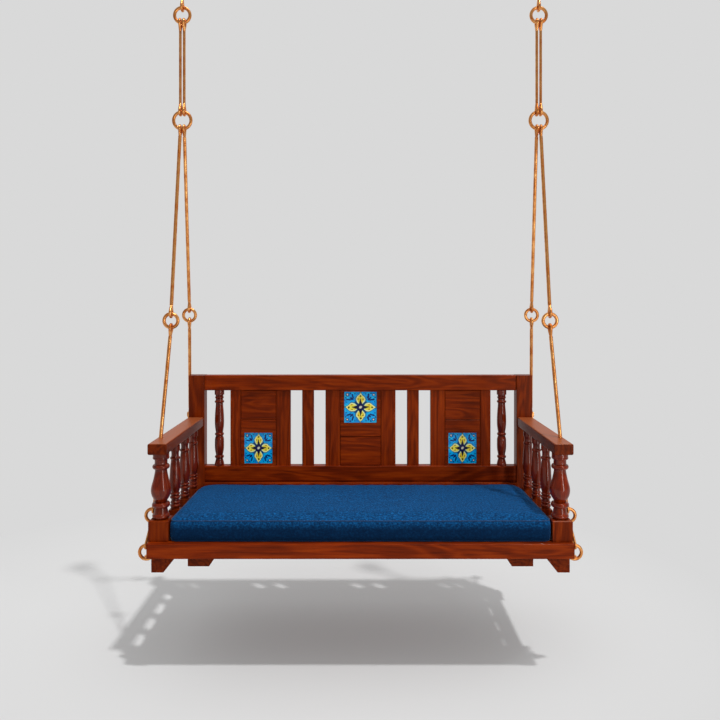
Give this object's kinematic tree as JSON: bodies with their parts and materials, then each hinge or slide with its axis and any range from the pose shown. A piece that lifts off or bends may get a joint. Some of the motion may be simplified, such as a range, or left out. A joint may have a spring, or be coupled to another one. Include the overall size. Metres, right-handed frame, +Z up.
{
  "type": "jhoola swing",
  "caption": "Hanging wooden bench swing with turned supports, tiled slatted back, a loose cushion and brass rods hooked through rings up to ceiling plates.",
  "frame": {"origin": "under the middle of the whole object, on the level of the underside of the feet", "axes": "+Z up, the long way of the hanging object; +Y towards the back, its shortest extent; +X to the right of someone facing the seat"},
  "size_m": [1.62, 0.7249, 2.386],
  "materials": {
    "wood_frame": "gloss",
    "wood_turned": "gloss",
    "wood_back": "gloss",
    "wood_under": "satin",
    "brass": "satin",
    "tile": "gloss",
    "cushion_fabric": "matte"
  },
  "bodies": {
    "ceiling": {"ceiling_plates": "brass", "ceiling_eyes": "brass"},
    "ceiling_rods": {"ceiling_rod_left": "brass", "ceiling_rod_right": "brass"},
    "ring_links": {"top_ring_left": "brass", "second_ring_left": "brass", "short_rod_front_left": "brass", "short_rod_back_left": "brass", "top_ring_right": "brass", "second_ring_right": "brass", "short_rod_front_right": "brass", "short_rod_back_right": "brass"},
    "cushion": {"cushion": "cushion_fabric"},
    "seat": {"armrest_left": "wood_frame", "armrest_right": "wood_frame", "back_beam": "wood_frame", "back_brackets": "brass", "back_middle_ring_left": "brass", "back_middle_ring_right": "brass", "back_post_left": "wood_back", "back_post_right": "wood_back", "back_spindle_left": "wood_turned", "back_spindle_right": "wood_turned", "balusters_left": "wood_turned", "balusters_right": "wood_turned", "base_rings": "brass", "bearers": "wood_under", "bottom_rail": "wood_back", "bracket_pins": "brass", "bracket_screws": "brass", "cross_rails": "wood_back", "deck_slats": "wood_under", "feet": "wood_under", "flat_slats": "wood_back", "front_beam": "wood_frame", "front_middle_ring_left": "brass", "front_middle_ring_right": "brass", "front_post_left": "wood_turned", "front_post_right": "wood_turned", "front_staples": "brass", "long_rod_back_left": "brass", "long_rod_back_right": "brass", "long_rod_front_left": "brass", "long_rod_front_right": "brass", "lower_rod_back_left": "brass", "lower_rod_back_right": "brass", "lower_rod_front_left": "brass", "lower_rod_front_right": "brass", "oval_links": "brass", "panels": "wood_back", "side_rail_left": "wood_frame", "side_rail_right": "wood_frame", "slat_cleats": "wood_under", "stiles": "wood_back", "tile_centre": "tile", "tile_frames": "wood_back", "tile_left": "tile", "tile_right": "tile", "top_rail": "wood_back"}
  },
  "joints": [
    {"name": "swing", "type": "hinge", "parent": "ceiling", "child": "ceiling_rods", "pos_m": [0, 0.016, 2.312], "axis": [1, 0, 0], "range_deg": [-30, 30]},
    {"name": "upper_knee", "type": "hinge", "parent": "ceiling_rods", "child": "ring_links", "pos_m": [0, 0.016, 2.1735], "axis": [1, 0, 0], "range_deg": [-12, 12]},
    {"name": "seat_tilt", "type": "hinge", "parent": "ring_links", "child": "seat", "pos_m": [0, 0.016, 1.67541], "axis": [1, 0, 0], "range_deg": [-12, 12]},
    {"name": "cushion_lift", "type": "slide", "parent": "seat", "child": "cushion", "axis": [0, 0, 1], "range_m": [0, 0.3]}
  ]
}
